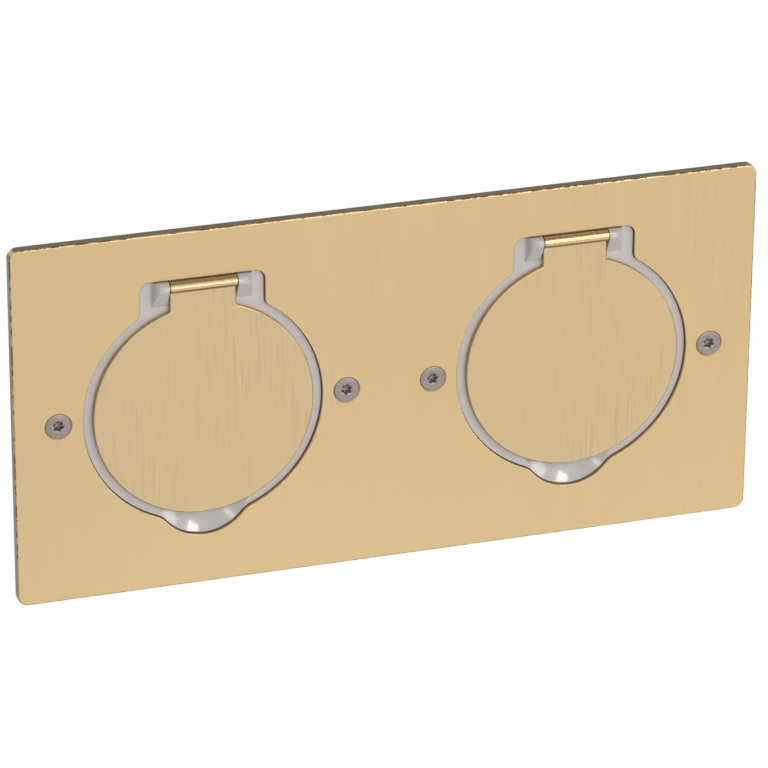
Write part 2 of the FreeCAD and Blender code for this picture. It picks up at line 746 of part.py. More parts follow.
def make_conduit_adaptor(gang, side):
    """A bush that snaps into an opened knock-out and takes the end of a conduit."""
    body = new_body("conduit_adaptor_" + gang, S["knockout_pitch"] * side)
    stop = -(BOSS_Y + S["adaptor_flange"])
    mouth = stop - S["conduit_grip"]
    collar = S["knockout_radius"] - S["collar_play"]
    catch = -(BOX_INNER_Y - S["boss_thick"] - S["snap_gap"])
    tip = catch + S["snap_length"]
    outside = S["conduit_radius"] + S["adaptor_wall"]
    profile = Drawing(body, "bush_outline", lift=KNOCKOUT_Z)
    profile.path([
        (S["throat_radius"], stop), (S["conduit_radius"], stop), (S["conduit_radius"], mouth),
        (outside, mouth), (outside, stop), (S["adaptor_flange_radius"], stop),
        (S["adaptor_flange_radius"], -BOSS_Y), (collar, -BOSS_Y), (collar, catch),
        (collar + S["snap_catch"], catch), (collar, tip), (S["throat_radius"], tip),
    ])
    turn(body, "Revolution", "bush", profile)

    # Slots that let the collar spring inwards
    half = S["snap_slot"] / 2
    reach = S["knockout_radius"] + CUT_MARGIN
    for name, half_x, half_z in (("level", reach, half), ("upright", half, reach)):
        slot = Drawing(body, name + "_slot", plane="XZ_Plane", lift=-tip)
        slot.rectangle(-half_x, KNOCKOUT_Z - half_z, half_x, KNOCKOUT_Z + half_z)
        pocket(body, name + "_slots", slot, S["box_wall"] + S["snap_length"], reverse=True)


# ---------------------------------------------------------------- lid frame and lid

def make_lid_frame(gang, x):
    body = new_body("lid_frame_" + gang, x)
    flange = Drawing(body, "flange_outline", lift=RIM_TOP)
    flange.rounded_rectangle(FRAME_HALF_X, FRAME_HALF_Y, S["frame_corner"])
    pad(body, "flange", flange, S["flange_thick"])

    # The raised part that fills the faceplate's opening
    fit = S["frame_fit"]
    rise = RING_TOP - FLANGE_TOP
    ring = Drawing(body, "ring_outline", lift=FLANGE_TOP)
    ring.circle(OPENING_RADIUS - fit)
    pad(body, "ring", ring, rise)
    window = Drawing(body, "window_outline", lift=FLANGE_TOP)
    window.rectangle(-(WINDOW_HALF - fit), 0, WINDOW_HALF - fit, WINDOW_TOP - fit)
    pad(body, "window", window, rise)
    scoop = Drawing(body, "scoop_outline", lift=FLANGE_TOP)
    scoop.circle(S["scoop_radius"] - fit, 0, -SCOOP_Y)
    pad(body, "scoop", scoop, rise)

    def is_window_corner(edge):
        high = WINDOW_TOP - fit
        return is_upright(edge) and abs(edge.BoundBox.YMax - high.value) < TOUCH

    def is_on_ring(edge):
        box = edge.BoundBox
        reach = math.hypot(box.XMin, box.YMin)
        on_ring = abs(reach - (OPENING_RADIUS - fit).value) < TOUCH
        return is_upright(edge) and on_ring and abs(box.XMin) > TOUCH

    def is_scoop_corner(edge):
        return is_on_ring(edge) and edge.BoundBox.YMax < 0

    def is_window_joint(edge):
        return is_on_ring(edge) and edge.BoundBox.YMin > 0

    dress(body, "Fillet", "window_corners", is_window_corner, S["window_corner"])
    dress(body, "Fillet", "window_joints", is_window_joint, S["window_blend"] + fit)
    dress(body, "Fillet", "scoop_corners", is_scoop_corner, S["scoop_blend"] + fit)

    # The dished finger scoop, a cap of a sphere, in front of the wall that carries the seal
    reach = S["scoop_radius"] - fit - S["dish_lip"]
    depth = S["dish_depth"]
    sphere = (reach * reach + depth * depth) / (depth * 2)
    dish = Drawing(body, "dish_outline", plane="YZ_Plane", shift=-SCOOP_Y)
    above = RING_TOP + CUT_MARGIN
    dish.path([(0, RING_TOP - depth, sphere), (reach, RING_TOP), (reach, above), (0, above)])
    turn(body, "Groove", "dish", dish)
    wall = Drawing(body, "seat_wall_outline", lift=RIM_TOP)
    wall.circle(SEAT_OUTER)
    pad(body, "seat_wall", wall, RING_TOP - RIM_TOP)

    # The bore that the plug passes through, and the ledge under the lid's seal
    seat = Drawing(body, "seat_outline", lift=RING_TOP)
    seat.circle(SEAT_RADIUS)
    pocket(body, "seat", seat, S["seat_depth"])
    bore = Drawing(body, "bore_outline", lift=RING_TOP)
    bore.circle(BORE_RADIUS)
    pocket(body, "bore", bore, RING_TOP - RIM_TOP)

    # The trough under the barrel, between the knuckles
    trough = Drawing(body, "trough_outline", plane="YZ_Plane")
    trough.circle(S["barrel_radius"] + S["barrel_gap"], HINGE_Y, HINGE_Z)
    pocket(body, "trough", trough, KNUCKLE_START * 2, both_sides=True)

    # One knuckle: a ramp up to a half round, rounded off on its outer side, bored for the pin
    radius = S["barrel_radius"]
    crown_y = HINGE_Y - radius * math.sin(KNUCKLE_RAMP)
    crown_z = HINGE_Z + radius * math.cos(KNUCKLE_RAMP)
    foot_y = crown_y - (crown_z - RING_TOP) / math.tan(KNUCKLE_RAMP)
    root_z = RING_TOP - fit
    profile = Drawing(body, "knuckle_outline", plane="YZ_Plane", lift=KNUCKLE_START)
    profile.path([(foot_y, root_z), (HINGE_Y + radius, root_z), (HINGE_Y + radius, HINGE_Z, radius),
                  (crown_y, crown_z), (foot_y, RING_TOP)])
    knuckle = pad(body, "knuckle", profile, S["knuckle_length"])
    crown = Drawing(body, "crown_outline", plane="XZ_Plane", lift=-HINGE_Y)
    crown_start = KNUCKLE_START + S["knuckle_flat"]
    knuckle_end = KNUCKLE_START + S["knuckle_length"]
    crest = HINGE_Z + radius
    height = crest - RING_TOP
    width = knuckle_end - crown_start
    bend = (width * width + height * height) / (height * 2)
    crown.path([(knuckle_end, RING_TOP, bend), (crown_start, crest), (crown_start, crest + radius),
                (knuckle_end + radius, crest + radius), (knuckle_end + radius, RING_TOP)])
    crown_cut = pocket(body, "crown", crown, (HINGE_Y - foot_y + radius) * 2, both_sides=True)
    eye = Drawing(body, "eye_outline", plane="YZ_Plane", lift=KNUCKLE_START)
    eye.circle(S["pin_radius"] + S["pin_fit"], HINGE_Y, HINGE_Z)
    eye_cut = pocket(body, "eye", eye, S["pin_seat"], reverse=True)
    mirror(body, "second_knuckle", [knuckle, crown_cut, eye_cut])

    def is_foot(edge):
        box = edge.BoundBox
        beside = abs(abs(box.XMin) - knuckle_end.value) < TOUCH and box.XLength < TOUCH
        before = abs(box.YMin - foot_y.value) < TOUCH and box.YLength < TOUCH
        return is_level(edge, RING_TOP) and (beside or before)

    dress(body, "Fillet", "knuckle_feet", is_foot, S["knuckle_foot"])

    holes = Drawing(body, "screw_holes", lift=FLANGE_TOP)
    for end in (-1, 1):
        holes.circle(SCREW_HOLE, SCREW_X * end)
    pocket(body, "screw_cut", holes, S["flange_thick"])


def make_frame_seal(gang, x):
    body = new_body("frame_seal_" + gang, x)
    ring = Drawing(body, "seal_outline", lift=FLANGE_TOP)
    ring.rounded_rectangle(FRAME_HALF_X, FRAME_HALF_Y, S["frame_corner"])
    inner_x = FRAME_HALF_X - S["frame_seal_side"]
    inner_y = FRAME_HALF_Y - S["frame_seal_end"]
    ring.rounded_rectangle(inner_x, inner_y, S["window_corner"])
    for end in (-1, 1):
        ring.circle(SCREW_HOLE, SCREW_X * end)
    pad(body, "seal", ring, S["frame_seal_thick"])


def make_lid(gang, x):
    body = new_body("lid_" + gang, x)
    disc = Drawing(body, "disc_outline", lift=RING_TOP)
    disc.circle(S["lid_radius"])
    pad(body, "disc", disc, S["lid_thick"])
    tongue = Drawing(body, "tongue_outline", lift=RING_TOP)
    tongue.rectangle(-TONGUE_HALF, S["lid_radius"] - S["hinge_reach"], TONGUE_HALF, HINGE_Y)
    pad(body, "tongue", tongue, S["lid_thick"])

    def is_tongue_corner(edge):
        box = edge.BoundBox
        at_side = abs(abs(box.XMin) - TONGUE_HALF.value) < TOUCH
        return is_upright(edge) and at_side and box.YMax < HINGE_Y.value - TOUCH

    def is_upper_edge(edge):
        at_barrel = abs(edge.BoundBox.YMin - HINGE_Y.value) < TOUCH
        return is_level(edge, HINGE_Z) and not at_barrel

    dress(body, "Fillet", "tongue_corners", is_tongue_corner, S["tongue_fillet"])
    dress(body, "Fillet", "upper_edge", is_upper_edge, S["lid_edge"])
    barrel = Drawing(body, "barrel_outline", plane="YZ_Plane")
    barrel.circle(S["barrel_radius"], HINGE_Y, HINGE_Z)
    pad(body, "barrel", barrel, S["tongue_width"], both_sides=True)
    eye = Drawing(body, "eye_outline", plane="YZ_Plane")
    eye.circle(S["pin_radius"] + S["pin_play"], HINGE_Y, HINGE_Z)
    pocket(body, "eye", eye, S["tongue_width"], both_sides=True)


def make_lid_liner(gang, x):
    body = new_body("lid_liner_" + gang, x)
    web_z = RING_TOP - S["liner_web"]
    rim_z = RING_TOP - S["liner_depth"]
    rim_inner = LINER_RADIUS - S["liner_wall"]
    profile = Drawing(body, "liner_outline", plane="XZ_Plane")
    profile.path([(0, web_z), (rim_inner, web_z), (rim_inner, rim_z), (LINER_RADIUS, rim_z),
                  (LINER_RADIUS, RING_TOP), (0, RING_TOP)])
    turn(body, "Revolution", "liner", profile)
    rib = S["liner_rib"] / 2
    reach = rim_inner + S["liner_wall"] / 2
    for name, half_x, half_y in (("rib_along", reach, rib), ("rib_across", rib, reach)):
        outline = Drawing(body, name + "_outline", lift=web_z)
        outline.rectangle(-half_x, -half_y, half_x, half_y)
        pad(body, name, outline, (web_z - rim_z) / 2, reverse=True)


def make_lid_seal(gang, x):
    body = new_body("lid_seal_" + gang, x)
    ring = Drawing(body, "seal_outline", lift=SEAT_Z)
    ring.circle(SEAT_RADIUS - S["seat_gap"])
    ring.circle(SEAT_RADIUS - S["seat_gap"] - S["seal_width"])
    pad(body, "seal", ring, S["seat_depth"])


def make_hinge_pin(gang, x):
    half = KNUCKLE_START + S["pin_seat"] - S["pin_end_gap"]
    pin = make_cylinder("hinge_pin_" + gang, S["pin_radius"], half * 2, x - half,
                        HINGE_Y, HINGE_Z, across="x")
    pin.Label = "hinge_pin_" + gang


# ---------------------------------------------------------------- outlet support

def make_device_support(gang, x):
    body = new_body("device_support_" + gang, x)
    half_x = S["support_offset"] + S["support_lug"]
    half_y = S["module_side"] / 2 + S["support_border"]
    outline = Drawing(body, "support_outline", lift=SUPPORT_BOTTOM)
    outline.rounded_rectangle(half_x, half_y, S["support_corner"])
    pad(body, "support", outline, SUPPORT_TOP - SUPPORT_BOTTOM)
    module = S["module_side"] / 2
    recess = Drawing(body, "recess_outline", lift=SUPPORT_TOP)
    recess.rounded_rectangle(module, module, S["module_corner"])
    pocket(body, "recess", recess, SUPPORT_TOP - FRONT_BOTTOM)
    passing = CUP_RADIUS + S["aperture_play"]
    aperture = Drawing(body, "aperture_outline", lift=SUPPORT_TOP)
    aperture.rounded_rectangle(passing, passing, S["module_corner"])
    pocket(body, "aperture", aperture, SUPPORT_TOP - SUPPORT_BOTTOM)
    hole = S["fixing_radius"] + S["fixing_play"]
    holes = Drawing(body, "hole_outlines", lift=SUPPORT_TOP)
    for end in (-1, 1):
        holes.circle(hole, S["support_offset"] * end)
    pocket(body, "holes", holes, SUPPORT_TOP - SUPPORT_BOTTOM)
    dress(body, "Chamfer", "countersinks",
          lambda edge: is_level(edge, SUPPORT_TOP) and is_circle(edge, hole),
          S["fixing_head"] - S["fixing_radius"])


def make_support_screws(gang, x):
    top = SUPPORT_TOP - S["head_sink"]
    screws = []
    for number, end in enumerate((-1, 1), start=1):
        name = "support_screw_{}_{}".format(gang, number)
        screws.append(make_countersunk_screw(
            name, S["fixing_radius"], S["fixing_head"], S["fixing_length"],
            x + S["support_offset"] * end, top))
    make_group("support_screws_" + gang, screws)


# ---------------------------------------------------------------- socket outlet

def make_socket_front(gang, x):
    body = new_body("socket_front_" + gang, x)
    half = S["module_side"] / 2 - S["module_play"]
    face = Drawing(body, "face_outline", lift=FRONT_BOTTOM)
    face.rounded_rectangle(half, half, S["module_corner"])
    pad(body, "face", face, S["front_thick"])
    cup = Drawing(body, "cup_outline", lift=FRONT_TOP)
    cup.circle(CUP_RADIUS)
    pad(body, "cup", cup, FRONT_TOP - CASE_TOP, reverse=True)
    well = Drawing(body, "well_outline", lift=FRONT_TOP)
    well.circle(S["well_radius"])
    pocket(body, "well", well, S["well_depth"])
    holes = Drawing(body, "pin_holes", lift=WELL_FLOOR)
    for way in (-1, 1):
        holes.circle(PLUG_HOLE, S["plug_spacing"] / 2 * way)
    holes.circle(S["plug_pin_radius"] + S["earth_play"], 0, S["earth_offset"])
    pocket(body, "pin_cut", holes, S["cup_floor"])
    dress(body, "Fillet", "well_rim",
          lambda edge: is_level(edge, FRONT_TOP) and is_circle(edge, S["well_radius"]),
          S["well_edge"])
    dress(body, "Fillet", "face_edge",
          lambda edge: is_level(edge, FRONT_TOP) and reaches(edge, half, half),
          S["front_edge"])


def terminal_places():
    """Where the three clamps stand: x, the middle in y, and the side they are wired from."""
    middle = CHAMBER_HALF - S["terminal_gap"] - S["terminal_depth"] / 2
    line = S["plug_spacing"] / 2 + S["terminal_shift"]
    return {"line": (-line, -middle, -1), "neutral": (line, -middle, -1), "earth": (0, middle, 1)}


def make_socket_body(gang, x):
    body = new_body("socket_body_" + gang, x)
    outline = Drawing(body, "case_outline", lift=CASE_BOTTOM)
    outline.rounded_rectangle(CUP_RADIUS, CUP_RADIUS, S["case_corner"])
    pad(body, "case", outline, CASE_TOP - CASE_BOTTOM)
    chamber = Drawing(body, "chamber_outline", lift=CASE_TOP)
    chamber.rounded_rectangle(CHAMBER_HALF, CHAMBER_HALF, S["module_corner"])
    pocket(body, "chamber", chamber, CASE_TOP - CHAMBER_FLOOR)

    # Rails that the shutter slides on
    rails = Drawing(body, "rail_outlines", lift=CHAMBER_FLOOR)
    rail_x = S["plug_spacing"] / 2 + S["plug_pin_radius"] + S["rail_margin"]
    for way in (-1, 1):
        near = rail_x * way
        far = (rail_x + S["rail_thick"]) * way
        low, high = (far, near) if way < 0 else (near, far)
        rails.rectangle(low, -SHUTTER_HALF - SHUTTER_TRAVEL, high, SHUTTER_HALF)
    pad(body, "rails", rails, SHUTTER_BOTTOM - S["rail_gap"] - CHAMBER_FLOOR)

    # Wire entries in the floor and screw windows in the walls
    entries = Drawing(body, "wire_entries", lift=CHAMBER_FLOOR)
    for name, (place, middle, _) in terminal_places().items():
        entries.circle(S["wire_radius"] + S["window_play"], place, middle)
    pocket(body, "wire_cut", entries, S["case_wall"])
    screw_z = CHAMBER_FLOOR + S["strip_thick"] + S["terminal_height"] / 2
    window = S["clamp_head"] + S["window_play"]
    for name, (place, _, way) in terminal_places().items():
        opening = Drawing(body, name + "_window", plane="XZ_Plane", lift=-CUP_RADIUS * way)
        opening.circle(window, place, screw_z)
        pocket(body, name + "_window_cut", opening, S["case_wall"], reverse=way > 0)


def make_shutter(gang, x):
    body = new_body("shutter_" + gang, x)
    half_x = CHAMBER_HALF - S["shutter_side_gap"]
    profile = Drawing(body, "wedge_outline", plane="YZ_Plane")
    profile.path([(-SHUTTER_HALF, SHUTTER_BOTTOM), (SHUTTER_HALF, SHUTTER_BOTTOM),
                  (SHUTTER_HALF, SHUTTER_BOTTOM + S["shutter_step"]),
                  (-S["shutter_step"], SHUTTER_TOP), (-SHUTTER_HALF, SHUTTER_TOP)])
    pad(body, "wedge", profile, half_x * 2, both_sides=True)


def ribbon(points, thickness):
    """Both sides of a strip whose middle line runs through points, along X and Y by turns."""
    steps = []
    for here, there in zip(points, points[1:]):
        along_x = as_size(there[0]).value - as_size(here[0]).value
        along_y = as_size(there[1]).value - as_size(here[1]).value
        steps.append((-math.copysign(abs(along_y) > TOUCH, along_y),
                      math.copysign(abs(along_x) > TOUCH, along_x)))
    half = thickness / 2
    left = []
    right = []
    for number, (x_place, y_place) in enumerate(points):
        beside = {steps[max(number - 1, 0)], steps[min(number, len(steps) - 1)]}
        across_x = sum(step[0] for step in beside)
        across_y = sum(step[1] for step in beside)
        left.append((x_place + half * across_x, y_place + half * across_y))
        right.append((x_place - half * across_x, y_place - half * across_y))
    return right + left[::-1]


def make_shutter_spring(gang, x):
    body = new_body("shutter_spring_" + gang, x)
    half = S["spring_thick"] / 2
    start = -SHUTTER_HALF - S["spring_seat"] - half
    end = -CHAMBER_HALF + S["spring_seat"] + half
    step = (end - start) / SPRING_FOLDS
    middle = [(0, start)]
    for fold in range(SPRING_FOLDS):
        swing = S["spring_swing"] * (1 if fold % 2 else -1)
        middle += [(swing, start + step * fold), (swing, start + step * (fold + 1))]
    middle.append((0, end))
    strip = Drawing(body, "strip_outline", lift=(SHUTTER_TOP + SHUTTER_BOTTOM) / 2)
    strip.path(ribbon(middle, S["spring_thick"]))
    pad(body, "strip", strip, S["spring_height"], both_sides=True)


def make_earth_pin(gang, x):
    body = new_body("earth_pin_" + gang, x)
    radius = S["plug_pin_radius"]
    tip = WELL_FLOOR + S["earth_length"]
    profile = Drawing(body, "pin_outline", plane="YZ_Plane", shift=S["earth_offset"])
    profile.path([(0, CHAMBER_FLOOR), (radius, CHAMBER_FLOOR), (radius, tip - radius, radius),
                  (0, tip)])
    turn(body, "Revolution", "pin", profile)
    _, middle, _ = terminal_places()["earth"]
    strap = Drawing(body, "strap_outline", lift=CHAMBER_FLOOR)
    strap.rectangle(-radius, S["earth_offset"], radius, middle - S["wire_radius"])
    pad(body, "strap", strap, S["strip_thick"])


def make_contact(name, gang, x, terminal):
    """A spring clip for one plug pin, with the strip that leads to its clamp."""
    place, middle, _ = terminal_places()[terminal]
    way = 1 if terminal == "neutral" else -1
    body = new_body("{}_contact_{}".format(name, gang), x)
    pin_x = S["plug_spacing"] / 2 * way
    inner = S["plug_pin_radius"] - S["clip_gap"]
    outer = inner + S["strip_thick"]
    top = SHUTTER_BOTTOM - S["clip_clear"]
    floor = CHAMBER_FLOOR + S["strip_thick"]
    clip = Drawing(body, "clip_outline", plane="XZ_Plane")
    clip.path([(pin_x - outer, CHAMBER_FLOOR), (pin_x + outer, CHAMBER_FLOOR),
               (pin_x + outer, top), (pin_x + inner, top), (pin_x + inner, floor),
               (pin_x - inner, floor), (pin_x - inner, top), (pin_x - outer, top)])
    pad(body, "clip", clip, S["clip_width"], both_sides=True)
    strip = Drawing(body, "strip_outline", lift=CHAMBER_FLOOR)
    strip.rectangle(pin_x - outer, middle + S["wire_radius"] + S["window_play"],
                    pin_x + outer, 0)
    pad(body, "strip", strip, S["strip_thick"])


def make_terminals(gang, x):
    blocks = []
    half_x = S["terminal_width"] / 2
    half_y = S["terminal_depth"] / 2
    low = CHAMBER_FLOOR + S["strip_thick"]
    for name, (place, middle, way) in terminal_places().items():
        label = "terminal_{}_{}".format(name, gang)
        block = doc.addObject("Part::Box", label + "_blank")
        block.setExpression("Length", S["terminal_width"].formula)
        block.setExpression("Width", S["terminal_depth"].formula)
        block.setExpression("Height", S["terminal_height"].formula)
        block.setExpression("Placement.Base.x", (x + place - half_x).formula)
        block.setExpression("Placement.Base.y", (middle - half_y).formula)
        block.setExpression("Placement.Base.z", low.formula)
        wire = make_cylinder(label + "_wire", S["wire_radius"], S["terminal_height"] - CUT_MARGIN,
                             x + place, middle, low)
        drilled = doc.addObject("Part::Cut", label + "_drilled")
        drilled.Base = block
        drilled.Tool = wire
        face = middle + half_y * way
        depth = half_y + S["clamp_over"]
        start = face - depth if way > 0 else face
        thread = make_cylinder(label + "_thread", S["clamp_radius"] + S["clamp_play"], depth,
                               x + place, start, low + S["terminal_height"] / 2, across="y")
        cut = doc.addObject("Part::Cut", label)
        cut.Base = drilled
        cut.Tool = thread
        blocks.append(cut)
    make_group("terminals_" + gang, blocks)


def make_terminal_screws(gang, x):
    screws = []
    height = CHAMBER_FLOOR + S["strip_thick"] + S["terminal_height"] / 2
    for name, (place, middle, way) in terminal_places().items():
        label = "clamp_{}_{}".format(name, gang)
        face = middle + S["terminal_depth"] / 2 * way
        stem_length = S["terminal_depth"] / 2
        stem_start = face - stem_length if way > 0 else face
        stem = make_cylinder(label + "_stem", S["clamp_radius"], stem_length,
                             x + place, stem_start, height, across="y")
        head_start = face if way > 0 else face - S["clamp_head_thick"]
        head = make_cylinder(label + "_head", S["clamp_head"], S["clamp_head_thick"],
                             x + place, head_start, height, across="y")
        screw = doc.addObject("Part::Fuse", label)
        screw.Base = stem
        screw.Tool = head
        screws.append(screw)
    make_group("terminal_screws_" + gang, screws)


# ---------------------------------------------------------------- the whole box

def make_gang(gang, side):
    x = GANG_X * side
    make_lid_frame(gang, x)
    make_frame_seal(gang, x)
    make_lid(gang, x)
    make_lid_liner(gang, x)
    make_lid_seal(gang, x)
    make_hinge_pin(gang, x)
    make_device_support(gang, x)
    make_support_screws(gang, x)
    make_socket_front(gang, x)
    make_socket_body(gang, x)
    make_shutter(gang, x)
    make_shutter_spring(gang, x)
    make_earth_pin(gang, x)
    make_contact("line", gang, x, "line")
    make_contact("neutral", gang, x, "neutral")
    make_terminals(gang, x)
    make_terminal_screws(gang, x)
    make_conduit_adaptor(gang, side)


SHARED_NODES = ("faceplate", "floor_gasket", "faceplate_screws", "box_rim", "flush_box", "box_inserts")
GANG_NODES = (
    "lid_frame", "frame_seal", "lid", "lid_liner", "lid_seal", "hinge_pin", "device_support",
    "support_screws", "socket_front", "socket_body", "shutter", "shutter_spring", "earth_pin",
    "line_contact", "neutral_contact", "terminals", "terminal_screws", "conduit_adaptor",
)


def check_document():
    """Stop at a feature that failed, or that didn't change its solid the way it should."""
    grow = {"PartDesign::Pad": 1, "PartDesign::Pocket": -1, "PartDesign::Groove": -1}
    for item in doc.Objects:
        if "Invalid" in item.State or "Error" in item.State:
            raise RuntimeError("{} failed: {}".format(item.Name, item.State))
        base = getattr(item, "BaseFeature", None)
        if item.TypeId not in grow or base is None:
            continue
        change = (item.Shape.Volume - base.Shape.Volume) * grow[item.TypeId]
        if change < TOUCH:
            raise RuntimeError("{} of {} changed nothing".format(item.Label, item.Name))


def write_parts():
    os.makedirs("parts", exist_ok=True)
    names = list(SHARED_NODES)
    for gang in GANGS:
        names += ["{}_{}".format(node, gang) for node in GANG_NODES]
    for name in names:
        item = doc.getObjectsByLabel(name)[0]
        if item.Shape.isNull() or not item.Shape.isValid():
            raise RuntimeError("{} has no valid shape".format(name))
        item.Shape.exportStep(os.path.join("parts", name + ".step"))
        print("{:24s} {:2d} solids {:12.2f} mm3".format(
            name, len(item.Shape.Solids), item.Shape.Volume))


make_faceplate()
make_floor_gasket()
make_faceplate_screws()
make_box_rim()
make_flush_box()
make_box_inserts()
for gang_name, gang_side in GANGS.items():
    make_gang(gang_name, gang_side)
doc.recompute()
check_document()
write_parts()
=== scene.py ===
import json
import math

import bmesh
import bpy
from mathutils import Matrix, Vector


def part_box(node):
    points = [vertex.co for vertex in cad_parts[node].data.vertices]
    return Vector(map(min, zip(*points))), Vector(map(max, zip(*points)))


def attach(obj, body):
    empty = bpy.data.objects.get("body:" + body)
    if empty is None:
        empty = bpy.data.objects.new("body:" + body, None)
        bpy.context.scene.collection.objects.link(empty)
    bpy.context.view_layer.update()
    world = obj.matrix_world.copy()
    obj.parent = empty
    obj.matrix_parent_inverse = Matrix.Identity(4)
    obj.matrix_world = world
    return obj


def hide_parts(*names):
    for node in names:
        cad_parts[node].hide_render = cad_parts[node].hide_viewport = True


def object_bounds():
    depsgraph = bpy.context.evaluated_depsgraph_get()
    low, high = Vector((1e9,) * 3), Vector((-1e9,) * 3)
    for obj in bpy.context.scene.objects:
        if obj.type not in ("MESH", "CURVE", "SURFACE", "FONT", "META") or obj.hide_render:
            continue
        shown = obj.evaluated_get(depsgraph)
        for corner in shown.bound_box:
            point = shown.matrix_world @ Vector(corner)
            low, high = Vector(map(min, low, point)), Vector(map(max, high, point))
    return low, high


# Looks of the floor socket box. Lengths are in metres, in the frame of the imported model: +Z up out
# of the floor, +X along the faceplate and +Y towards the hinges of the lids.

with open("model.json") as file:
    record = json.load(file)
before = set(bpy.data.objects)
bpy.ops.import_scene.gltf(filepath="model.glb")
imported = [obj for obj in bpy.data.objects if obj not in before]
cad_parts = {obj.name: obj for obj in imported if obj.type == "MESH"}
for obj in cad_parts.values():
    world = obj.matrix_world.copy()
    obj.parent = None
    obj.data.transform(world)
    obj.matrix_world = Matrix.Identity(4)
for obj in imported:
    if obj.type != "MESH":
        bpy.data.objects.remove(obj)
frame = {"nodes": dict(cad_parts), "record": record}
cad_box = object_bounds()

MM = 0.001
GANGS = ("left", "right")
BODY = "box"


# ---------------------------------------------------------------- materials

class Paint:
    """A node material, built from its Principled shader outwards."""

    def __init__(self, name, **settings):
        self.material = bpy.data.materials.new(name)
        self.material.use_nodes = True
        self.tree = self.material.node_tree
        self.shader = self.tree.nodes["Principled BSDF"]
        self.place = self.node("ShaderNodeTexCoord").outputs["Object"]
        for socket, value in settings.items():
            self.shader.inputs[socket.replace("_", " ")].default_value = value

    def node(self, kind, **settings):
        made = self.tree.nodes.new(kind)
        for name, value in settings.items():
            setattr(made, name, value)
        return made

    def link(self, source, target):
        self.tree.links.new(source, target)

    def noise(self, scale, detail=2.0, rough=0.5, offset=0.0):
        """Noise whose cells measure 1/scale along X, Y and Z."""
        mapping = self.node("ShaderNodeMapping")
        mapping.inputs["Scale"].default_value = scale
        mapping.inputs["Location"].default_value = (offset, offset, offset)
        self.link(self.place, mapping.inputs["Vector"])
        texture = self.node("ShaderNodeTexNoise")
        texture.inputs["Scale"].default_value = 1.0
        texture.inputs["Detail"].default_value = detail
        texture.inputs["Roughness"].default_value = rough
        self.link(mapping.outputs["Vector"], texture.inputs["Vector"])
        return texture.outputs["Fac"]

    def ramp(self, source, low, high, start=0.0, end=1.0):
        """Spread a value between start and end over the range low to high."""
        spread = self.node("ShaderNodeMapRange")
        spread.inputs["From Min"].default_value = low
        spread.inputs["From Max"].default_value = high
        spread.inputs["To Min"].default_value = start
        spread.inputs["To Max"].default_value = end
        self.link(source, spread.inputs["Value"])
        return spread.outputs["Result"]

    def maths(self, operation, first, second):
        made = self.node("ShaderNodeMath", operation=operation)
        for socket, value in zip(made.inputs, (first, second)):
            if isinstance(value, (int, float)):
                socket.default_value = value
            else:
                self.link(value, socket)
        return made.outputs["Value"]

    def mix(self, share, first, second):
        """Blend two colours; each is a tuple or a socket."""
        made = self.node("ShaderNodeMix", data_type="RGBA")
        self.link(share, made.inputs["Factor"])
        for socket, value in ((made.inputs[6], first), (made.inputs[7], second)):
            if isinstance(value, tuple):
                socket.default_value = (*value, 1.0)
            else:
                self.link(value, socket)
        return made.outputs[2]

    def colour(self, source):
        self.link(source, self.shader.inputs["Base Color"])

    def roughness(self, source):
        self.link(source, self.shader.inputs["Roughness"])

    def bump(self, source, height, strength=1.0):
        """Emboss the surface by a height in metres, times the strength."""
        made = self.node("ShaderNodeBump")
        made.inputs["Strength"].default_value = strength
        made.inputs["Distance"].default_value = height
        self.link(source, made.inputs["Height"])
        self.link(made.outputs["Normal"], self.shader.inputs["Normal"])

    def facing_up(self, low, high):
        """1 on the faces that look up or down in the piece's own frame, 0 on upright ones."""
        split = self.node("ShaderNodeSeparateXYZ")
        self.link(self.node("ShaderNodeTexCoord").outputs["Normal"], split.inputs["Vector"])
        return self.ramp(self.maths("ABSOLUTE", split.outputs["Z"], 0.0), low, high)

    def beyond(self, axis, low, high):
        """0 nearer than low to the frame's origin along an axis, 1 farther than high."""
        split = self.node("ShaderNodeSeparateXYZ")
        self.link(self.place, split.inputs["Vector"])
        return self.ramp(self.maths("ABSOLUTE", split.outputs[axis], 0.0), low, high)


def scaled(colour, *factors):
    return tuple(min(1.0, part * factor) for part, factor in zip(colour, factors))


